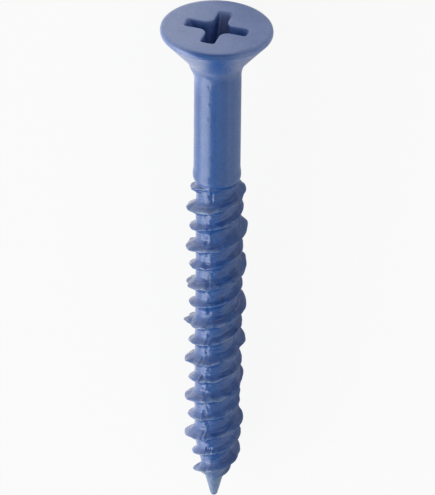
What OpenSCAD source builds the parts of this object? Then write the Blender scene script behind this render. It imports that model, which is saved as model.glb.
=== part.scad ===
/* [Length and head] */
// Length from the flat face of the head to the end of the point
length = 57.15; // [50:0.05:76]
// Diameter over the rim of the head
head_diameter = 11.4; // [10.6:0.1:12.6]
// Height of the straight land round the rim
rim_land = 0.6; // [0.5:0.05:0.8]
// Radius that rounds both edges of the rim
rim_rounding = 0.35; // [0.05:0.05:0.35]
// Included angle of the cone under the head
countersink_angle = 82; // [78:1:90]
// Radius of the fillet where the cone runs into the shank
neck_fillet = 3; // [1:0.1:4]

/* [Plain shank] */
// Diameter of the plain shank
shank_diameter = 4.8; // [4.5:0.05:5]
// Distance from the face of the head to the end of the plain shank
shank_end = 17.1; // [14:0.1:24]
// How far the end of the shank swells beyond its own radius
shank_swell = 0.08; // [0.02:0.01:0.15]
// Length over which the shank swells at its end
swell_length = 1; // [0.6:0.1:2]
// Length of the rounded shoulder from the shank down to the root of the thread
shoulder_length = 0.75; // [0.4:0.05:1]

/* [Thread] */
// Lead, the advance of either ridge in one turn
lead = 4.66; // [4.4:0.02:5.2]
// Diameter over the high ridge
high_ridge_diameter = 6.35; // [6:0.05:6.6]
// Diameter over the low ridge
low_ridge_diameter = 5.6; // [5.2:0.05:5.9]
// Diameter of the root between the ridges
root_diameter = 4.25; // [4.1:0.05:4.4]
// Half of the width of the high ridge at its base
high_half_base = 0.95; // [0.7:0.05:1.1]
// Half of the width of the low ridge at its base
low_half_base = 0.7; // [0.5:0.05:0.9]
// Width of the flat left on top of each ridge
crest_width = 0.1; // [0.06:0.02:0.2]
// Share of its height that a flank has gained halfway, under a half when it is hollow
flank_hollow = 0.33; // [0.3:0.01:0.5]
// Distance from the face of the head to the high ridge on the side that lies down
ridge_phase = 17.56; // [16.5:0.01:18.5]
// Length over which the ridges rise to their full height
run_in = 1.95; // [1:0.05:3]

/* [Point] */
// Length of the tapered point
point_length = 8.1; // [6:0.1:11]
// Power of the taper, one for a straight cone and more for a bulged one
point_bulge = 1.15; // [1:0.05:1.6]
// Radius of the blunt end of the point
nose_radius = 0.4; // [0.2:0.05:0.5]
// Length at the end of the point that carries no ridge
bare_point = 2.7; // [2:0.1:4]
// Length over which the ridges die away at the point
run_out = 1.05; // [0.5:0.05:2]

/* [Cross recess] */
// Span from wing tip to wing tip at the face of the head
recess_span = 6.6; // [6.4:0.1:7.2]
// Width of a wing of the recess
wing_width = 1.45; // [1.2:0.05:1.7]
// Radius of the four rounded corners between the wings
corner_radius = 0.9; // [0.6:0.05:1.1]
// Depth at which the wings end
wing_depth = 3.6; // [3:0.1:3.8]
// Slope of the wing tips from the axis of the screw
tip_slope = 26.5; // [24:0.5:28]
// Depth of the hollow point below the wings
hollow_point = 0.5; // [0.3:0.05:0.8]
// Turn of the recess about the axis of the screw
recess_turn = 17; // [0:1:89]

/* [Hidden] */

head_radius = head_diameter / 2;
shank_radius = shank_diameter / 2;
root_radius = root_diameter / 2;
high_rise = high_ridge_diameter / 2 - root_radius;
low_rise = low_ridge_diameter / 2 - root_radius;

// Depth by which one solid reaches into the next, so that no faces coincide
sink = 0.2;

// Arcs and curves of the outline
cone_angle = countersink_angle / 2;
rim_centre_radius = head_radius - rim_rounding;
rim_centre = rim_land - rim_rounding * tan(cone_angle / 2);
neck_corner = rim_land + (head_radius - shank_radius) / tan(cone_angle);
neck_centre = neck_corner + neck_fillet * tan(cone_angle / 2);
swell_radius = shank_radius + shank_swell;
shoulder_drop = swell_radius - root_radius + sink;
round_faces = 96;

// Stations of one lead, each with its place along the axis and its rise over the root
high_middle = (crest_width / 2 + high_half_base) / 2;
low_middle = (crest_width / 2 + low_half_base) / 2;
stations = [
    [-high_half_base, 0],
    [-high_middle, high_rise * flank_hollow],
    [-crest_width / 2, high_rise],
    [crest_width / 2, high_rise],
    [high_middle, high_rise * flank_hollow],
    [high_half_base, 0],
    [lead / 2 - low_half_base, 0],
    [lead / 2 - low_middle, low_rise * flank_hollow],
    [lead / 2 - crest_width / 2, low_rise],
    [lead / 2 + crest_width / 2, low_rise],
    [lead / 2 + low_middle, low_rise * flank_hollow],
    [lead / 2 + low_half_base, 0]
];
last_station = len(stations) - 1;

// The threaded body begins inside the shank and ends in the ring where the nose begins
thread_top = shank_end - 2 * sink;
taper_start = length - point_length;
nose_start_angle = 16;
nose_angles = [38, 62];
nose_centre = length - nose_radius;
nose_ring_radius = nose_radius * cos(nose_start_angle);
nose_ring_end = nose_centre + nose_radius * sin(nose_start_angle);
turn_steps = 36;
first_step = floor((thread_top - ridge_phase - lead) / lead * turn_steps);
last_step = ceil((nose_ring_end - ridge_phase + lead) / lead * turn_steps);
strip_size = (last_step - first_step + 1) * len(stations);
nose_start = strip_size + turn_steps;
top_middle = nose_start + turn_steps * (1 + len(nose_angles));

function share(value) = max(0, min(1, value));
function tapered(z) = pow(share((z - taper_start) / (nose_ring_end - taper_start)), point_bulge);
function root_at(z) = root_radius - (root_radius - nose_ring_radius) * tapered(z);
function rising(z) = share((z - shank_end) / run_in);
function dying(z) = share((length - bare_point - z) / run_out);
function ridge_at(z, rise) = root_at(z) + rise * min(rising(z), dying(z));
function place(n, j) = ridge_phase + lead * n / turn_steps + stations[j][0];
function around(n) = (n % turn_steps + turn_steps) % turn_steps;
function ring_point(n, radius, z) =
    [radius * cos(360 * n / turn_steps), radius * sin(360 * n / turn_steps), z];
function ring(radius, z) = [for (n = [0 : turn_steps - 1]) ring_point(n, radius, z)];

// Numbers the points of the strip, and gathers those outside the body into its end rings
function point_number(n, j) =
    j > last_station ? point_number(n + turn_steps, 0)
    : place(n, j) <= thread_top ? strip_size + around(n)
    : place(n, j) >= nose_ring_end ? nose_start + around(n)
    : (n - first_step) * len(stations) + j;
function facet(a, b, c) = a == b || b == c || c == a ? [] : [[a, b, c]];

// Slope at which the rim and the ridges both touch the floor
function rest_slope(z, radius) =
    let (across = rim_centre_radius - radius, along = z - rim_centre)
    atan(across / along) + asin(rim_rounding / norm([across, along]));
rest_angle = min([
    for (n = [first_step : last_step], j = [0 : last_station])
        if (around(n) == 0 && place(n, j) > shank_end && place(n, j) < nose_ring_end)
            rest_slope(place(n, j), ridge_at(place(n, j), stations[j][1]))
]);

// Height of the middle of the head's face, and the shift that centres the whole screw
face_height = rim_centre_radius * cos(rest_angle) + rim_centre * sin(rest_angle) + rim_rounding;
head_reach = rim_centre_radius * sin(rest_angle) + rim_rounding * (1 - cos(rest_angle));
nose_reach = nose_centre * cos(rest_angle) + nose_radius;
centring = (head_reach - nose_reach) / 2;

screw();

// The screw lying on its rim and its thread, head to the left
module screw() {
    color("#4a659c")
    translate([centring, 0, face_height])
    rotate([0, 90 + rest_angle, 0])
    difference() {
        union() {
            head_and_shank();
            threaded_body();
        }
        cross_recess();
    }
}

function arc(radius, z, size, from, to, parts) = [
    for (i = [0 : parts])
        let (angle = from + (to - from) * i / parts)
        [radius + size * cos(angle), z + size * sin(angle)]
];

// Head and plain shank, with the face of the head at zero and the point upward
module head_and_shank() {
    swell = [
        for (i = [0 : 4])
            let (angle = 180 * i / 4)
            [shank_radius + shank_swell * (1 - cos(angle)) / 2,
             shank_end - swell_length * (1 - i / 4)]
    ];
    shoulder = [
        for (i = [1 : 4])
            let (angle = 90 * i / 4)
            [swell_radius - shoulder_drop * (1 - cos(angle)),
             shank_end + shoulder_length * sin(angle)]
    ];
    rotate_extrude($fn = round_faces)
    polygon(concat(
        [[0, 0]],
        arc(rim_centre_radius, rim_rounding, rim_rounding, -90, 0, 3),
        arc(rim_centre_radius, rim_centre, rim_rounding, 0, cone_angle, 2),
        arc(shank_radius + neck_fillet, neck_centre, neck_fillet, 180 + cone_angle, 180, 5),
        swell,
        shoulder,
        [[0, shank_end + shoulder_length]]
    ));
}

// Root, high ridge, low ridge and point as one strip wound along the axis
module threaded_body() {
    strip = [
        for (n = [first_step : last_step], j = [0 : last_station])
            ring_point(n, ridge_at(place(n, j), stations[j][1]), place(n, j))
    ];
    nose = [
        for (angle = nose_angles)
            each ring(nose_radius * cos(angle), nose_centre + nose_radius * sin(angle))
    ];
    strip_facets = [
        for (n = [first_step : last_step - 1], j = [0 : last_station])
            let (
                a = point_number(n, j),
                b = point_number(n + 1, j),
                c = point_number(n + 1, j + 1),
                d = point_number(n, j + 1)
            )
            each concat(facet(a, c, b), facet(a, d, c))
    ];
    nose_facets = [
        for (k = [0 : len(nose_angles) - 1], n = [0 : turn_steps - 1])
            let (
                here = nose_start + k * turn_steps,
                next = here + turn_steps,
                beside = around(n + 1)
            )
            each [[here + n, next + beside, here + beside], [here + n, next + n, next + beside]]
    ];
    end_facets = [
        for (n = [0 : turn_steps - 1])
            let (last = top_middle - turn_steps)
            each [
                [top_middle, strip_size + n, strip_size + around(n + 1)],
                [top_middle + 1, last + around(n + 1), last + n]
            ]
    ];
    polyhedron(
        points = concat(
            strip,
            ring(root_radius, thread_top),
            ring(nose_ring_radius, nose_ring_end),
            nose,
            [[0, 0, thread_top], [0, 0, length]]
        ),
        faces = concat(strip_facets, nose_facets, end_facets)
    );
}

// Hollow of the recess, four wings whose tips slope in and a shallow point below
module cross_recess() {
    core_radius = (wing_width / 2 + corner_radius) * sqrt(2) - corner_radius - sink / 2;
    mouth = recess_span / 2 + sink * tan(tip_slope);
    floor_radius = recess_span / 2 - wing_depth * tan(tip_slope);
    rotate([0, 0, recess_turn])
    union() {
        intersection() {
            translate([0, 0, -sink])
            linear_extrude(wing_depth + sink)
            cross_outline();
            rotate_extrude($fn = round_faces)
            polygon([[0, -2 * sink], [mouth + sink, -2 * sink], [mouth, -sink],
                     [floor_radius, wing_depth], [floor_radius / 2, wing_depth + sink],
                     [0, wing_depth + sink]]);
        }
        rotate_extrude($fn = round_faces)
        polygon([[0, wing_depth - sink], [core_radius, wing_depth - sink],
                 [core_radius, wing_depth], [core_radius / 4, wing_depth + hollow_point],
                 [0, wing_depth + hollow_point]]);
    }
}

module cross_outline() {
    reach = recess_span + 4 * sink;
    corner = wing_width / 2 + corner_radius - sink / 10;
    difference() {
        union() {
            square([reach, wing_width], center = true);
            square([wing_width, reach], center = true);
            square(2 * corner, center = true);
        }
        for (x = [-corner, corner], y = [-corner, corner])
            translate([x, y])
            circle(corner_radius, $fn = round_faces);
    }
}
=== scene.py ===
import math
import random

import bpy
import numpy as np
from mathutils import Matrix, Vector, noise


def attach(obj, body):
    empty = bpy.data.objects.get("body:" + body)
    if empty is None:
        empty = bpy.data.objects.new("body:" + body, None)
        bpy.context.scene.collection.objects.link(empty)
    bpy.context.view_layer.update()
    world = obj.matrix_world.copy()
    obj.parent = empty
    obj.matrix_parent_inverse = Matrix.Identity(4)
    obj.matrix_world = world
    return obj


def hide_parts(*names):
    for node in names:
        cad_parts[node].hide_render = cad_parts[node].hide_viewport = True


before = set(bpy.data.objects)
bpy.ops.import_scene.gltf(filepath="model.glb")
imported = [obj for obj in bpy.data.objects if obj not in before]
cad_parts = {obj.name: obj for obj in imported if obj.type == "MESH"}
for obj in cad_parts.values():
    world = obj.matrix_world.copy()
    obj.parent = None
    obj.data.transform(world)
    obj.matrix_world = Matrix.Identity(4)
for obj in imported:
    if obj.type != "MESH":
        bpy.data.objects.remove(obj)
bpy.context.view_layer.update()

# Sizes, mm

# The screw's own frame has its axis along +Z, from the face of the head to the point. Azimuths
# count from the floor's side: 180 faces up, 90 is the photograph's right and 270 its left.
MM = 0.001
LENGTH = 57.15
# Head: rounded rim, land, cone, and the fillet into the shank
HEAD_R = 5.7
RIM_LAND = 0.6
RIM_ROUND = 0.35
CONE_ANGLE = math.radians(41)
NECK_FILLET = 3.0
# Plain shank: the swell at its end, and the shoulder that dips under the root of the thread
SHANK_R = 2.4
SHANK_END = 17.1
SHANK_SWELL = 0.08
SWELL_LENGTH = 1.0
SHOULDER = 0.75
SHOULDER_DIP = 0.2
# Thread: two ridges half a lead apart, each with its rise over the root and half its foot's width
LEAD = 4.66
ROOT_R = 2.125
HIGH_RISE = 1.05
LOW_RISE = 0.675
HIGH_BASE = 0.95
LOW_BASE = 0.7
CREST = 0.1
FLANK_POWER = 1.6
RIDGE_PHASE = 17.56
RUN_IN = 1.95
RUN_OUT = 1.05
# Point: taper, the part without ridges, and the blunt nose from where the taper meets it
POINT_LENGTH = 8.1
POINT_BULGE = 1.15
BARE_POINT = 2.7
NOSE_R = 0.4
NOSE_START = math.radians(16)
# Cross recess
RECESS_SPAN = 6.6
RECESS_TURN = math.radians(17)
WING_WIDTH = 1.45
WING_DEPTH = 3.6
WING_TIP_R = 0.28
CORNER_R = 0.9
TIP_SLOPE = math.tan(math.radians(26.5))
HOLLOW_POINT = 0.5
MOUTH_ROUND = 0.14

# Mesh: points around the axis, and where the helical strip of the thread begins
COLUMNS = 192
STRIP_TOP = 16.0
FLANK_STEPS = (1.0, 0.84, 0.69, 0.55, 0.42, 0.29, 0.17, 0.07)

# Marks of the photographed screw

# Lumps and nicks of the coating and the thread where the photograph shows them. Each has its
# azimuth in degrees, distance from the face, spread along and around the axis, and rise, in mm.
SCARS = [
    (262, 4.5, 0.5, 0.8, 0.22), (201, 5.65, 0.12, 0.09, -0.04), (207, 9.6, 0.08, 0.1, 0.04),
    (203, 7.8, 0.1, 0.1, 0.03), (178, 12.6, 0.12, 0.1, -0.03), (152, 0.42, 0.1, 0.22, -0.07),
    (144, 0.36, 0.1, 0.16, -0.08), (159, 0.5, 0.08, 0.2, -0.05), (121, 0.3, 0.14, 0.3, -0.08),
    (200, 17.75, 0.12, 0.2, 0.14), (213, 18.4, 0.09, 0.42, -0.17), (192, 18.65, 0.3, 0.1, -0.16),
    (187, 18.6, 0.35, 0.08, 0.1), (196, 19.95, 0.42, 0.42, 0.15), (173, 19.5, 0.07, 0.4, 0.09),
    (173, 19.85, 0.07, 0.4, 0.08), (169, 22.0, 0.08, 0.2, 0.09), (164, 24.2, 0.12, 0.12, 0.1),
    (158, 31.0, 0.2, 0.22, -0.2), (152, 31.3, 0.3, 0.1, 0.08), (172, 32.8, 0.22, 0.22, -0.12),
    (98, 33.25, 0.25, 0.7, 0.22), (217, 38.8, 0.3, 0.12, 0.15), (220, 41.1, 0.25, 0.12, 0.14),
    (95, 42.35, 0.35, 1.1, -0.4), (97, 41.3, 0.25, 0.9, 0.14), (209, 42.3, 0.12, 0.2, 0.15),
    (212, 42.75, 0.12, 0.2, -0.13), (206, 43.2, 0.14, 0.2, 0.16), (211, 45.3, 0.15, 0.16, -0.16),
    (207, 45.75, 0.14, 0.22, 0.15), (211, 47.0, 0.12, 0.22, 0.15), (202, 47.7, 0.3, 0.1, 0.14),
    (206, 47.9, 0.3, 0.14, -0.18), (184, 47.8, 0.2, 0.35, 0.1), (190, 50.0, 0.22, 0.07, -0.13),
    (196, 50.05, 0.22, 0.07, -0.13), (202, 50.1, 0.22, 0.07, -0.12), (185, 50.1, 0.1, 0.12, 0.1),
    (176, 52.2, 0.1, 0.14, 0.1),
    # ones like them on the side that faces the floor, which the photograph does not show
    (18, 24.5, 0.2, 0.3, 0.12), (31, 36.2, 0.2, 0.25, -0.14), (346, 44.0, 0.25, 0.3, 0.12),
    # on the crests, along the left side of the photograph's outline
    (303, 19.15, 0.15, 0.4, -0.18), (250, 18.47, 0.15, 0.35, 0.14), (281, 21.2, 0.2, 0.5, -0.14),
    (310, 26.22, 0.2, 0.4, 0.24), (282, 25.87, 0.2, 0.5, -0.15), (234, 25.25, 0.15, 0.4, 0.2),
    (264, 30.32, 0.25, 0.55, -0.24), (313, 30.92, 0.2, 0.4, 0.2), (274, 35.1, 0.15, 0.3, 0.16),
    (313, 35.59, 0.2, 0.45, 0.25), (246, 34.72, 0.22, 0.45, -0.32), (317, 40.3, 0.2, 0.45, 0.22),
    (250, 39.43, 0.15, 0.3, 0.12), (232, 39.2, 0.15, 0.3, -0.28), (240, 43.97, 0.15, 0.4, 0.2),
    (262, 53.5, 0.14, 0.3, 0.13), (265, 53.1, 0.15, 0.5, -0.42), (299, 53.85, 0.2, 0.35, -0.42),
    (252, 53.85, 0.2, 0.6, 0.16),
    # and along its right side
    (68, 18.44, 0.2, 0.5, -0.24), (113, 19.02, 0.2, 0.5, -0.18), (62, 23.02, 0.2, 0.4, -0.26),
    (79, 23.24, 0.2, 0.35, 0.12), (63, 27.7, 0.15, 0.4, 0.17), (113, 37.66, 0.25, 0.6, -0.38),
    (92, 44.38, 0.2, 0.5, -0.18), (70, 46.43, 0.3, 0.65, -0.42), (95, 46.75, 0.3, 0.6, -0.12),
]
# Smaller ones of the same kind, scattered all around the thread
RANDOM_SCARS = 260
SCAR_SEED = 5
# Line left where the thread rolling dies met: its azimuth, half width in degrees, and rise
SEAMS = [(204, 13, 0.11), (24, 13, 0.1)]
# Sizes of the waves, the lumps and the grain of the skin
NOISE_SIZES = (2.6, 1.1, 0.42)
# Dark specks in the coating: azimuth in degrees, distance from the face and size in mm
SPECKS = [(201, 5.65, 0.11), (206, 10.1, 0.07), (185, 11.9, 0.06), (164, 17.3, 0.08)]
# The photographed head sits a little askew on its shank: slopes of its face around and across
# the photograph's view, how far it is off the axis, and where down the neck that ends
HEAD_TILT = math.tan(math.radians(0.99))
HEAD_LEAN = math.tan(math.radians(-0.43))
HEAD_OFF = -0.157
ASKEW_END = 6.5
ASKEW_LENGTH = 6
# Where the coating of the point is worn grey: its beginning, and how long it takes
WORN_START = 51.2
WORN_LENGTH = 3

# Coating, linear colours
BLUE = (0.013, 0.112, 0.415)
BLUE_DEEP = (0.009, 0.093, 0.355)
BLUE_PALE = (0.038, 0.148, 0.465)
# Paler blue of the crests, rubbed and with a painted highlight, and of the worn nose
WEAR_AND_SHEEN = (0.25, 0.34, 0.53)
WORN = (0.21, 0.315, 0.38)
# Pale blue of painted sheen and painted light on the face, rim, cone, neck, recess and left ridges,
# and of the worn nose and the light rolling lines
PAINTED_LIGHT_AND_MARKS = (0.46, 0.57, 1.0)
# Dark blue of painted shade in the recess, on the thread's flanks and along its right side, and of
# the specks and the dark rolling lines
PAINTED_SHADE_AND_MARKS = (0.005, 0.05, 0.24)

# Rest, camera and light

# How the screw lies: its slope, and where the middle of the head's face is
REST_ANGLE = math.radians(3.12616)
FACE_HEIGHT = 5.71762
CENTRING = -28.3866
LYING_TURN = Matrix.Rotation(math.pi / 2 + REST_ANGLE, 4, "Y")

# The photograph's camera, against the screw's upright frame: distance from the middle of the
# screw in mm, elevation, roll, focal length in pixels, and where the middle of the face appears
CAMERA_DISTANCE = 481.6
CAMERA_ELEVATION = math.radians(32.39)
CAMERA_ROLL = math.radians(0.55)
FOCAL_PX = 4655.6
PHOTO_WIDTH, PHOTO_HEIGHT = 435, 495
HEAD_X, HEAD_Y = 218.32, 27.08
SENSOR = 36

# Soft lights: name, direction from the screw, distance and size in m, and brightness of the face
SOFTBOXES = [
    ("left_box", (0.46, -0.84, 0.3), 0.6, (0.68, 0.55), 2.15),
    ("back_box", (-0.2, -0.95, 0.27), 0.7, (0.5, 0.5), 1.6),
    ("top_box", (0.0, 0.5, 0.85), 0.6, (1.0, 1.0), 0.2),
    ("right_box", (0.6, 0.75, 0.22), 0.6, (0.9, 0.4), 0.27),
]
LIGHTS_AIM = Vector((0, 0, 0.004))
WORLD_STRENGTH = 0.32
FLOOR_HALF = 2.0


# Small helpers

def unit(value):
    return min(1.0, max(0.0, value))


def inner_steps(first, last, steps):
    """The points that divide a stretch evenly, without its ends."""
    return np.linspace(first, last, steps + 1)[1:-1]


def column_angle(n):
    return RECESS_TURN + 2 * math.pi * n / COLUMNS


ANGLES = [column_angle(n) for n in range(COLUMNS)]


def around(radius, angle, z):
    return radius * math.cos(angle), radius * math.sin(angle), z


def turned(points, angle):
    """Flat points turned about the axis."""
    c, s = math.cos(angle), math.sin(angle)
    x, y = points.T
    return np.stack([x * c - y * s, x * s + y * c], 1)


def degrees_from(azimuth, middle):
    """How far an azimuth is from another, in degrees from -180 to 180."""
    return (azimuth - middle + 180) % 360 - 180


def beside(angle, middle, spread):
    """One at an azimuth given in degrees, falling off to both sides of it."""
    return math.exp(-((degrees_from(math.degrees(angle), middle) / spread) ** 2))


# Outline

def smooth_max(a, b, soft):
    """The larger of two radii, with the corner where they cross rounded off."""
    d = np.clip(0.5 + 0.5 * (a - b) / soft, 0, 1)
    return b + (a - b) * d + soft * d * (1 - d)


def neck_centre():
    """Distance from the face to the centre of the fillet under the cone."""
    corner = RIM_LAND + (HEAD_R - SHANK_R) / math.tan(CONE_ANGLE)
    return corner + NECK_FILLET * math.tan(CONE_ANGLE / 2)


def head_profile():
    """Radius and distance from the face, from the rim's upper rounding down the shank."""
    rows = []
    inner = HEAD_R - RIM_ROUND
    for a in np.radians([-90, -60, -30, 0]):
        rows.append((inner + RIM_ROUND * math.cos(a), RIM_ROUND * (1 + math.sin(a))))
    centre = RIM_LAND - RIM_ROUND * math.tan(CONE_ANGLE / 2)
    rows.append((HEAD_R, (RIM_ROUND + centre) / 2))
    for a in np.linspace(0, CONE_ANGLE, 4):
        rows.append((inner + RIM_ROUND * math.cos(a), centre + RIM_ROUND * math.sin(a)))
    neck = neck_centre()
    top = (
        SHANK_R + NECK_FILLET - NECK_FILLET * math.cos(CONE_ANGLE),
        neck - NECK_FILLET * math.sin(CONE_ANGLE),
    )
    last = rows[-1]
    for s in inner_steps(0, 1, 17):
        rows.append((last[0] + (top[0] - last[0]) * s, last[1] + (top[1] - last[1]) * s))
    for a in np.linspace(CONE_ANGLE, 0, 9):
        rows.append((SHANK_R + NECK_FILLET * (1 - math.cos(a)), neck - NECK_FILLET * math.sin(a)))
    rows += [(SHANK_R, z) for z in inner_steps(neck, STRIP_TOP, int((STRIP_TOP - neck) / 0.2))]
    return rows


def shank_radius(z):
    """Plain shank with the swell at its end and the shoulder down to the root."""
    swell = SHANK_SWELL * 0.5 * (1 + np.cos(np.pi * np.clip((SHANK_END - z) / SWELL_LENGTH, 0, 1)))
    fall = np.clip((z - SHANK_END) / SHOULDER, 0, 1)
    drop = SHANK_R + SHANK_SWELL - ROOT_R + SHOULDER_DIP
    drop = drop * (1 - np.sqrt(np.clip(1 - fall**2, 0, 1)))
    return np.where(z > SHANK_END + SHOULDER, 0.0, SHANK_R + swell - drop)


def nose_ring(angle):
    """Radius and distance from the face on the round nose."""
    return NOSE_R * math.cos(angle), LENGTH - NOSE_R * (1 - math.sin(angle))


def root_radius(z):
    """Root of the thread and the taper of the point, as far as the nose."""
    start = LENGTH - POINT_LENGTH
    nose_r, nose_z = nose_ring(NOSE_START)
    share = np.clip((z - start) / (nose_z - start), 0, 1)
    return ROOT_R - (ROOT_R - nose_r) * share**POINT_BULGE


def ridge_share(z):
    """How much of their rise the ridges have, between the run-in and the run-out."""
    rising = np.clip((z - SHANK_END) / RUN_IN, 0, 1)
    dying = np.clip((LENGTH - BARE_POINT - z) / RUN_OUT, 0, 1)
    return np.minimum(rising, dying)


def thread_radius(z, rise):
    thread = root_radius(z) + rise * ridge_share(z)
    on_shoulder = z < SHANK_END + SHOULDER + 0.1
    return np.where(on_shoulder, smooth_max(thread, shank_radius(z), 0.06), thread)


def stations():
    """One lead of the thread: distance along the axis, rise over the root, crest wear with a
    painted highlight, and painted shade on the flanks.
    """
    rows = []
    half = CREST / 2
    for middle, base, rise, next_foot in (
        (0.0, HIGH_BASE, HIGH_RISE, LEAD / 2 - LOW_BASE),
        (LEAD / 2, LOW_BASE, LOW_RISE, LEAD - HIGH_BASE),
    ):
        for side in (-1, 1):
            part = [
                (side * (half + (base - half) * s), rise * (1 - s) ** FLANK_POWER)
                for s in FLANK_STEPS
            ]
            part.append((side * half * 0.55, rise * 0.995))
            for x, h in part if side < 0 else part[::-1]:
                share = h / rise
                # The crest band gets wear with a painted highlight. The flanks get painted shade
                # from a little above the root up to the crest: full on the flank that faces the
                # head, 0.4 on the other.
                dark = unit((share - 0.12) * 4) * (1.0 if side < 0 else 0.4)
                rows.append((middle + x, h, unit((share - 0.6) * 3), dark))
        rows += [(x, 0.0, 0.0, 0.0) for x in inner_steps(middle + base, next_foot, 4)]
    return rows


# Wear, specks, painted light and painted shade

# Spots are given by their azimuth and their spread in degrees.
# Floor of the recess: painted shade over a little painted light.
FLOOR_MARKS = {"pocket": 1.0, "film": 0.6, "grime": 0.6}
NOSE_MARKS = {"crest": 0.8, "film": 0.3}


def wall_marks(x, y, z):
    """Painted light and painted shade on the recess walls: paler near the mouth and on one side of
    the far wing, darker with depth and on that wing's end.
    """
    angle = math.atan2(y, x)
    paler_side = beside(angle, -22, 22)
    darker_end = beside(angle, 17, 18) * min(1.0, z / 0.8)
    film = max(0.45, 1 - z) + 0.4 * paler_side - 0.25 * darker_end
    grime = min(0.85, 0.12 + 0.6 * z) * (1 - 0.3 * paler_side) + 0.4 * darker_end
    return {"pocket": 1.0, "film": film, "grime": grime}


def rim_sheen(angle):
    """Painted sheen on the edge of the face, left out in three places."""
    edge = 1 - 0.8 * beside(angle, 199, 13) - 0.6 * beside(angle, 150, 10)
    return edge - 0.3 * beside(angle, 176, 12)


def neck_sheen(z, angle):
    """Painted sheen on the rim and the cone, left out in front, and painted highlights on the neck.
    """
    neck = 0.9 * beside(angle, 262, 34) * math.exp(-(((z - 5.1) / 1.3) ** 2))
    neck += 0.4 * beside(angle, 186, 15) * math.exp(-(((z - 3.9) / 1.2) ** 2))
    cone = 0.75 if z < 0.75 else 0.35 * unit(1 - (z - 0.75) / 4.5)
    # no painted sheen on the cone's front
    crest_and_front_mask = math.exp(-((degrees_from(math.degrees(angle), 184) / 25) ** 4))
    return max(neck, (1 - crest_and_front_mask) * cone)


def thread_marks(angle, z, crest_wear_and_sheen, dark):
    """Rubbed crests with a painted highlight, a bare point, painted sheen on the ridges low on the
    left, and painted shade on the flanks and along the right.
    """
    full = float(ridge_share(z))
    # the painted crest highlight is mostly left out on the right side
    crest = crest_wear_and_sheen * full * (1 - 0.8 * beside(angle, 80, 42))
    bare = unit((z - LENGTH + 3.4) / 1.4)
    # painted sheen on the left side, growing towards the point
    left_sheen = 0.7 * unit((z - 36) / 12) * beside(angle, 262, 42) * min(1.0, dark + 0.3)
    grime = dark * full * (1 - crest) * (1 - left_sheen)
    # painted shade along the right side
    right_shade = beside(angle, 108, 36) * (0.35 + 0.65 * dark) * unit((z - SHANK_END) / 2) * (1 - bare)
    return {
        "crest": max(crest, 0.8 * bare),
        "film": max(0.3 * bare, left_sheen),
        "grime": max(grime, right_shade),
    }


def specks(points):
    """How dark each point is with the specks of the coating."""
    x, y, z = points.T
    dark = np.zeros(len(points))
    for middle, place, size in SPECKS:
        apart = np.radians(degrees_from(np.degrees(np.arctan2(y, x)), middle)) * np.hypot(x, y)
        dark = np.maximum(dark, np.exp(-0.5 * (apart**2 + (z - place) ** 2) / size**2))
    return dark


# Mesh

class Book:
    """Collects vertices with their marks, and faces, in the screw's own frame."""

    def __init__(self):
        self.points = []
        self.faces = []
        self.marks = {"crest": [], "film": [], "grime": [], "pocket": []}

    def add(self, point, **marks):
        self.points.append(point)
        for key, values in self.marks.items():
            values.append(marks.get(key, 0.0))
        return len(self.points) - 1

    def ring(self, radius, z, **marks):
        return [self.add(around(radius, a, z), **marks) for a in ANGLES]

    def loft(self, one, two):
        """Faces between two rings."""
        for i in range(COLUMNS):
            k = (i + 1) % COLUMNS
            self.faces.append((one[i], one[k], two[k], two[i]))

    def close(self, ring, point, **marks):
        """Faces from a ring to a last point on the axis."""
        tip = self.add(point, **marks)
        for i in range(COLUMNS):
            self.faces.append((ring[i], ring[(i + 1) % COLUMNS], tip))


def wing_half(span_half, grow):
    """Half of one wing of the recess, from the corner between wings to the middle of the tip."""
    corner_r = CORNER_R - grow
    corner = WING_WIDTH / 2 + CORNER_R
    end = span_half + grow
    tip_r = min(WING_TIP_R + grow, (end - 1.0) * 0.4)
    start = corner - corner_r / math.sqrt(2)

    def side(x):
        y = WING_WIDTH / 2 + grow
        if x < corner:
            y = corner - math.sqrt(max(corner_r * corner_r - (corner - x) ** 2, 0))
        if x > end - tip_r:
            y -= tip_r - math.sqrt(max(tip_r * tip_r - (x - (end - tip_r)) ** 2, 0))
        return max(y, 0.0)

    dense = [(x, side(x)) for x in start + (end - start) * np.linspace(0, 1, 400)]
    dense += [(end, y) for y in np.linspace(dense[-1][1], 0, 60)[1:]]
    dense = np.array(dense)
    along = np.concatenate([[0], np.cumsum(np.hypot(*np.diff(dense, axis=0).T))])
    wanted = np.linspace(0, along[-1], COLUMNS // 8 + 1)
    return np.stack([np.interp(wanted, along, dense[:, axis]) for axis in (0, 1)], 1)


def recess_outline(depth, grow):
    """Closed outline of the cross, one point per column, starting at the middle of a wing tip."""
    half = wing_half(RECESS_SPAN / 2 - depth * TIP_SLOPE, grow)
    quarter = np.concatenate([half[:0:-1], half[:-1, ::-1]])
    cross = np.concatenate([turned(quarter, k * math.pi / 2) for k in range(4)])
    return turned(cross, RECESS_TURN)


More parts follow.
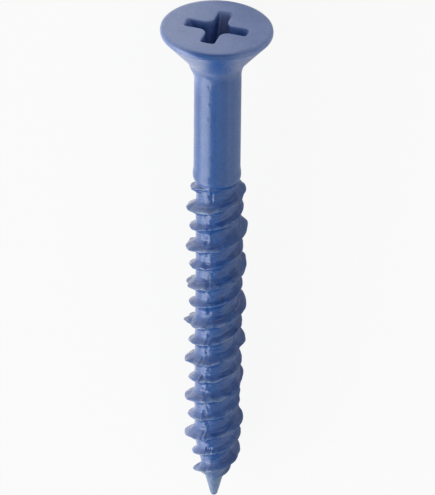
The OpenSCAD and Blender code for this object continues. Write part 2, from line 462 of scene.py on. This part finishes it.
def face_and_recess(book, rim):
    """Face of the head between the rim and the recess, the recess walls and its floor."""
    outer = np.array([around(HEAD_R - RIM_ROUND, a, 0.0)[:2] for a in ANGLES])
    mouth = recess_outline(0, MOUTH_ROUND)
    before = rim
    for s in np.linspace(1, 0, 13)[1:]:
        # the face has the full painted sheen
        ring = [book.add((x, y, 0.0), film=1.0) for x, y in mouth + (outer - mouth) * s]
        book.loft(ring, before)
        before = ring
    levels = [
        (MOUTH_ROUND * (1 - math.sin(a)), MOUTH_ROUND * (1 - math.cos(a)))
        for a in np.radians([25, 50, 75, 90])
    ]
    levels += [(0.0, z) for z in np.linspace(MOUTH_ROUND, WING_DEPTH, 12)[1:]]
    for grow, z in levels:
        ring = [book.add((x, y, z), **wall_marks(x, y, z)) for x, y in recess_outline(z, grow)]
        book.loft(ring, before)
        before = ring
    last = recess_outline(WING_DEPTH, 0)
    for s in (0.85, 0.6, 0.35, 0.15):
        z = WING_DEPTH + HOLLOW_POINT * (1 - s)
        ring = [book.add((x * s, y * s, z), **FLOOR_MARKS) for x, y in last]
        book.loft(ring, before)
        before = ring
    book.close(before, (0, 0, WING_DEPTH + HOLLOW_POINT), **FLOOR_MARKS)


def threaded_body(book, top):
    """Helical strip from the shank to the nose, its points on the crest lines of both ridges."""
    nose_r, nose_z = nose_ring(NOSE_START)
    nose = book.ring(nose_r, nose_z, **NOSE_MARKS)
    rows = stations()
    phase = RIDGE_PHASE + LEAD * RECESS_TURN / (2 * math.pi)
    first = math.floor((STRIP_TOP - phase - LEAD) / LEAD * COLUMNS)
    last = math.ceil((nose_z - phase + LEAD) / LEAD * COLUMNS)
    known = {}

    def number(n, j):
        """Vertex of column n and station j; above and below the strip, one of the end rings."""
        if j == len(rows):
            n, j = n + COLUMNS, 0
        along, rise, crest_wear_and_sheen, dark = rows[j]
        z = phase + LEAD * n / COLUMNS + along
        if z <= STRIP_TOP:
            return top[n % COLUMNS]
        if z >= nose_z:
            return nose[n % COLUMNS]
        if (n, j) not in known:
            angle = column_angle(n)
            point = around(float(thread_radius(z, rise)), angle, z)
            known[n, j] = book.add(point, **thread_marks(angle, z, crest_wear_and_sheen, dark))
        return known[n, j]

    for n in range(first, last):
        for j in range(len(rows)):
            corners = [number(n, j), number(n + 1, j), number(n + 1, j + 1), number(n, j + 1)]
            kept = [c for i, c in enumerate(corners) if c != corners[i - 1]]
            if len(set(kept)) > 2:
                book.faces.append(tuple(kept))
    before = nose
    for a in np.radians([34, 52, 70]):
        ring = book.ring(*nose_ring(a), **NOSE_MARKS)
        book.loft(before, ring)
        before = ring
    book.close(before, (0, 0, LENGTH), **NOSE_MARKS)


def build_screw():
    """The whole skin: rim, face and recess, then the cone, the shank and the thread."""
    book = Book()
    profile = head_profile()
    radius, z = profile[0]
    rim = [book.add(around(radius, a, z), film=rim_sheen(a)) for a in ANGLES]
    face_and_recess(book, rim)
    before = rim
    for radius, z in profile[1:]:
        ring = [book.add(around(radius, a, z), film=neck_sheen(z, a)) for a in ANGLES]
        book.loft(before, ring)
        before = ring
    top = book.ring(SHANK_R, STRIP_TOP)
    book.loft(before, top)
    threaded_body(book, top)
    return book


# Relief

def all_scars():
    """The scars that the photograph shows and the seeded ones."""
    rng = random.Random(SCAR_SEED)
    more = []
    for _ in range(RANDOM_SCARS):
        place = (rng.uniform(0, 360), rng.uniform(SHANK_END + 1.2, LENGTH - 4))
        spread = (rng.uniform(0.07, 0.2), rng.uniform(0.1, 0.45))
        more.append((*place, *spread, rng.uniform(-0.09, 0.06)))
    return SCARS + more


def on_thread(z, start, coming, going):
    """One along the thread, from zero at its start and at the tip."""
    return np.clip((z - SHANK_END - start) / coming, 0, 1) * np.clip((LENGTH - z) / going, 0, 1)


def rolled_lay(points):
    """Cosine and sine of the place across the thread, the same all along a ridge."""
    x, y, z = points.T
    angle = 2 * math.pi * z / LEAD - np.arctan2(y, x)
    return np.stack([np.cos(angle), np.sin(angle), on_thread(z, 0.5, 1.0, 2.5)], 1)


def relief(points):
    """Moves the skin in or out: a slightly lumpy coating, the rolling seams, and the scars."""
    x, y, z = points.T
    radius = np.maximum(np.hypot(x, y), 1e-6)
    azimuth = np.degrees(np.arctan2(y, x))
    waves, lumps, grain = (
        np.array([noise.noise(Vector(p) / size) for p in points.tolist()]) for size in NOISE_SIZES
    )
    threaded = on_thread(z, 0, 1.2, 3)
    rise = (0.004 + 0.026 * threaded) * waves + (0.003 + 0.022 * threaded) * lumps
    rise += 0.025 * threaded * grain
    for middle, half, height in SEAMS:
        line = np.exp(-((degrees_from(azimuth, middle) / half) ** 2))
        rise += height * threaded * line * (0.45 * grain + lumps)
    for middle, place, along, across, height in all_scars():
        apart = np.radians(degrees_from(azimuth, middle)) * radius
        rise += height * np.exp(-0.5 * ((apart / across) ** 2 + ((z - place) / along) ** 2))
    # the flat face stays flat, and the poles stay closed
    skin = (z > 0.02) | (radius > HEAD_R - RIM_ROUND - 0.01)
    rise *= skin * np.clip((radius - 0.1) / 0.4, 0, 1)
    moved = points.copy()
    moved[:, 0] += rise * x / radius
    moved[:, 1] += rise * y / radius
    moved[:, 2] += threaded * skin * (0.08 * waves + 0.16 * lumps)
    return moved


def askew(points):
    """The head a little out of square with the shank, fading out down the neck."""
    fade = np.clip((ASKEW_END - points[:, 2]) / ASKEW_LENGTH, 0, 1)
    share = fade * fade * (3 - 2 * fade)
    moved = points.copy()
    moved[:, 1] += HEAD_OFF * share
    moved[:, 2] += (HEAD_TILT * points[:, 1] + HEAD_LEAN * points[:, 0]) * share
    return moved


def lying(points):
    """From the screw's own frame in mm to the floor frame in metres."""
    place = np.array(Matrix.Translation((CENTRING, 0, FACE_HEIGHT)) @ LYING_TURN)
    return (points @ place[:3, :3].T + place[:3, 3]) * MM


def to_object(book, name):
    """The mesh object, with its marks as attributes for the material."""
    points = np.array(book.points, float)
    inside = np.array(book.marks["pocket"]) > 0
    marks = {key: book.marks[key] for key in ("crest", "film")}
    # painted shade, joined by the dark specks
    marks["grime"] = np.maximum(book.marks["grime"], 2 * specks(points))
    marks["worn"] = np.clip((points[:, 2] - WORN_START) / WORN_LENGTH, 0, 1) * ~inside
    lay = rolled_lay(points) * ~inside[:, None]
    points[~inside] = relief(points[~inside])
    points = lying(askew(points))
    points[:, 2] = np.maximum(points[:, 2], 0)
    mesh = bpy.data.meshes.new(name)
    mesh.from_pydata(points.tolist(), [], book.faces)
    mesh.validate()
    mesh.polygons.foreach_set("use_smooth", [True] * len(mesh.polygons))
    for key, values in marks.items():
        mesh.attributes.new(key, "FLOAT", "POINT").data.foreach_set("value", values)
    mesh.attributes.new("lay", "FLOAT_VECTOR", "POINT").data.foreach_set("vector", lay.ravel())
    mesh.update()
    obj = bpy.data.objects.new(name, mesh)
    bpy.context.scene.collection.objects.link(obj)
    return obj


# Material

class Nodes:
    """Short forms for building a material's nodes."""

    def __init__(self, name):
        self.mat = bpy.data.materials.new(name)
        self.mat.use_nodes = True
        self.tree = self.mat.node_tree
        self.bsdf = self.tree.nodes["Principled BSDF"]
        self.coords = self.new("TexCoord").outputs["Object"]

    def new(self, kind, **inputs):
        node = self.tree.nodes.new("ShaderNode" + kind)
        for key, value in inputs.items():
            node.inputs[key.replace("_", " ")].default_value = value
        return node

    def link(self, a, b):
        self.tree.links.new(a, b)

    def noise(self, scale, detail, along=1.0):
        """Noise; a small value for along draws it out into streaks along the screw."""
        mapping = self.new("Mapping", Scale=(along, 1, 1))
        self.link(self.coords, mapping.inputs["Vector"])
        node = self.new("TexNoise", Scale=scale, Detail=detail, Roughness=0.55)
        self.link(mapping.outputs["Vector"], node.inputs["Vector"])
        return node.outputs["Fac"]

    def attribute(self, name, output="Fac"):
        node = self.new("Attribute")
        node.attribute_name = name
        return node.outputs[output]

    def ramp(self, fac, low, high, out_low=0.0, out_high=1.0):
        node = self.new("MapRange", From_Min=low, From_Max=high, To_Min=out_low, To_Max=out_high)
        node.interpolation_type = "SMOOTHSTEP"
        self.link(fac, node.inputs["Value"])
        return node.outputs["Result"]

    def patches(self, scale, detail, *levels):
        return self.ramp(self.noise(scale, detail), *levels)

    def math(self, operation, a, b=0.0):
        node = self.new("Math")
        node.operation = operation
        for socket, value in zip(node.inputs, (a, b)):
            if isinstance(value, float):
                socket.default_value = value
            else:
                self.link(value, socket)
        return node.outputs[0]

    def times(self, a, b):
        return self.math("MULTIPLY", a, b)

    def mix(self, fac, a, b):
        node = self.new("Mix")
        node.data_type = "RGBA"
        self.link(fac, node.inputs["Factor"])
        for key, value in (("A", a), ("B", b)):
            socket = [i for i in node.inputs if i.name == key and i.type == "RGBA"][0]
            if isinstance(value, tuple):
                socket.default_value = (*value, 1)
            else:
                self.link(value, socket)
        return [o for o in node.outputs if o.type == "RGBA"][0]

    def bump(self, height, strength, distance, before=None):
        node = self.new("Bump", Strength=strength, Distance=distance)
        self.link(height, node.inputs["Height"])
        if before is not None:
            self.link(before, node.inputs["Normal"])
        return node.outputs["Normal"]

    def rolling_marks(self):
        """Fine lines along the thread, from the rolling, which come and go."""
        parts = self.new("SeparateXYZ")
        self.link(self.attribute("lay", "Vector"), parts.inputs[0])
        across = self.math("ARCTAN2", parts.outputs["Y"], parts.outputs["X"])
        total = None
        for lines, scale in ((11.0, 500.0), (17.0, 800.0), (29.0, 1100.0)):
            wave = self.math("COSINE", self.times(across, lines))
            wave = self.times(wave, self.patches(scale, 2.0, 0.45, 0.65))
            total = wave if total is None else self.math("ADD", total, wave)
        return self.times(total, parts.outputs["Z"])


def coating_material():
    """Blue baked coating: cloudy, a little orange-peel, rubbed and worn where marked, with painted
    highlights, sheen and shade and dark specks where marked.
    """
    m = Nodes("blue_coating")
    blue = m.mix(m.patches(330.0, 4.0, 0.3, 0.7), BLUE_DEEP, BLUE)
    blue = m.mix(m.times(m.patches(2300.0, 3.0, 0.35, 0.65), 0.35), blue, BLUE_PALE)
    # Paler crests and nose: rubbed wear and a painted highlight.
    crest_and_front_mask = m.times(m.attribute("crest"), m.patches(520.0, 4.0, 0.43, 0.6))
    blue = m.mix(m.times(crest_and_front_mask, 0.66), blue, WEAR_AND_SHEEN)
    worn = m.times(m.attribute("worn"), m.patches(620.0, 4.0, 0.35, 0.65, 0.22, 0.5))
    blue = m.mix(worn, blue, WORN)
    # Painted sheen and painted light where marked, and the paler worn nose.
    film = m.times(m.attribute("film"), m.patches(420.0, 4.0, 0.25, 0.75, 0.36, 0.5))
    blue = m.mix(film, blue, PAINTED_LIGHT_AND_MARKS)
    # Painted shade where marked, and the dark specks.
    grime = m.times(m.attribute("grime"), m.patches(800.0, 5.0, 0.36, 0.64, 0.25, 0.8))
    blue = m.mix(grime, blue, PAINTED_SHADE_AND_MARKS)
    marks = m.rolling_marks()
    blue = m.mix(m.ramp(marks, 0.2, 1.4, 0.0, 0.26), blue, PAINTED_SHADE_AND_MARKS)
    blue = m.mix(m.ramp(marks, -1.4, -0.2, 0.16, 0.0), blue, PAINTED_LIGHT_AND_MARKS)
    m.link(blue, m.bsdf.inputs["Base Color"])
    rough = m.math("ADD", m.patches(700.0, 4.0, 0.3, 0.7, 0.22, 0.34), m.times(worn, 0.6))
    m.link(rough, m.bsdf.inputs["Roughness"])
    m.bsdf.inputs["IOR"].default_value = 1.6
    m.bsdf.inputs["Specular IOR Level"].default_value = 0.76
    m.bsdf.inputs["Specular Tint"].default_value = (0.9, 0.91, 0.94, 1)
    m.bsdf.inputs["Coat Weight"].default_value = 0.5
    m.bsdf.inputs["Coat Roughness"].default_value = 0.3
    peel = m.bump(m.noise(1500.0, 2.0), 0.2, 0.00004)
    drawn = m.bump(m.noise(2600.0, 2.0, along=0.06), 0.3, 0.00002, peel)
    rolled = m.bump(marks, 0.5, 0.00001, drawn)
    m.link(m.bump(m.noise(5200.0, 2.0), 0.15, 0.000012, rolled), m.bsdf.inputs["Normal"])
    return m.mat


# Stage

def floor_material():
    """White paper that keeps the soft shadow; camera rays, and mirror rays that meet it in front
    of the screw, see it almost at full white."""
    m = Nodes("floor_paper")
    m.bsdf.inputs["Base Color"].default_value = (0.9, 0.9, 0.9, 1)
    m.bsdf.inputs["Roughness"].default_value = 0.9
    m.bsdf.inputs["Specular IOR Level"].default_value = 0.2
    glow = m.new("Emission", Color=(1, 1, 1, 1), Strength=1.0)
    path = m.new("LightPath")
    parts = m.new("SeparateXYZ")
    # Mirror rays see the paper glow white on its -Y side and little on its +Y side: a painted
    # reflection, bright on one side of the screw and dark on the other.
    side = m.new("MapRange", From_Min=-0.004, From_Max=0.003, To_Min=1.0, To_Max=0.1)
    m.link(m.coords, parts.inputs[0])
    m.link(parts.outputs["Y"], side.inputs["Value"])
    by_camera = m.times(path.outputs["Is Camera Ray"], 0.9)
    by_gloss = m.times(path.outputs["Is Glossy Ray"], side.outputs["Result"])
    mix = m.new("MixShader")
    m.link(m.math("MAXIMUM", by_camera, by_gloss), mix.inputs[0])
    m.link(m.bsdf.outputs[0], mix.inputs[1])
    m.link(glow.outputs[0], mix.inputs[2])
    m.link(mix.outputs[0], m.tree.nodes["Material Output"].inputs["Surface"])
    return m.mat


def floor():
    mesh = bpy.data.meshes.new("floor")
    s = FLOOR_HALF
    mesh.from_pydata([(-s, -s, 0), (s, -s, 0), (s, s, 0), (-s, s, 0)], [], [(0, 1, 2, 3)])
    obj = bpy.data.objects.new("floor", mesh)
    bpy.context.scene.collection.objects.link(obj)
    mesh.materials.append(floor_material())


def softbox(name, direction, distance, size, radiance):
    """A rectangular light aimed at the screw; its power follows from how bright its face is."""
    data = bpy.data.lights.new(name, "AREA")
    data.shape = "RECTANGLE"
    data.size, data.size_y = size
    data.energy = radiance * math.pi * size[0] * size[1]
    obj = bpy.data.objects.new(name, data)
    bpy.context.scene.collection.objects.link(obj)
    obj.location = LIGHTS_AIM + Vector(direction).normalized() * distance
    obj.rotation_mode = "QUATERNION"
    obj.rotation_quaternion = (LIGHTS_AIM - obj.location).to_track_quat("-Z", "Y")


def lights():
    world = bpy.data.worlds.new("studio")
    bpy.context.scene.world = world
    world.use_nodes = True
    background = world.node_tree.nodes["Background"]
    background.inputs["Color"].default_value = (1, 1, 1, 1)
    background.inputs["Strength"].default_value = WORLD_STRENGTH
    for box in SOFTBOXES:
        softbox(*box)


def upright(v):
    """A direction in the photograph's upright frame (right, away, up) as one in the floor frame."""
    return LYING_TURN @ Vector((v.y, v.x, -v.z))


def on_axis(z):
    """A point of the screw's axis in the floor frame."""
    return Vector(lying(np.array([[0, 0, z]]))[0])


def camera():
    """Looks at the lying screw as the photograph's camera looked at the upright one."""
    back = Vector((0, -math.cos(CAMERA_ELEVATION), math.sin(CAMERA_ELEVATION)))
    right = Vector((1, 0, 0))
    up = Vector((0, math.sin(CAMERA_ELEVATION), math.cos(CAMERA_ELEVATION)))
    c, s = math.cos(CAMERA_ROLL), math.sin(CAMERA_ROLL)
    back, right, up = upright(back), upright(c * right + s * up), upright(-s * right + c * up)
    data = bpy.data.cameras.new("camera")
    obj = bpy.data.objects.new("camera", data)
    bpy.context.scene.collection.objects.link(obj)
    place = on_axis(LENGTH / 2) + back * CAMERA_DISTANCE * MM
    obj.matrix_world = Matrix.Translation(place) @ Matrix((right, up, back)).transposed().to_4x4()
    data.sensor_width = SENSOR
    data.lens = FOCAL_PX / PHOTO_HEIGHT * SENSOR
    data.clip_start, data.clip_end = 0.01, 10
    # the small shift brings the middle of the face to its place in the photograph
    head = on_axis(0.0) - obj.location
    depth = -head.dot(back)
    x = head.dot(right) / depth * FOCAL_PX
    y = -head.dot(up) / depth * FOCAL_PX
    data.shift_x = -((HEAD_X - PHOTO_WIDTH / 2) - x) / PHOTO_HEIGHT
    data.shift_y = ((HEAD_Y - PHOTO_HEIGHT / 2) - y) / PHOTO_HEIGHT
    bpy.context.scene.camera = obj


screw = to_object(build_screw(), "screw_coated")
screw.data.materials.append(coating_material())
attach(screw, "root")
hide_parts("screw")
floor()
lights()
camera()

bpy.context.scene.view_settings.view_transform = "Standard"
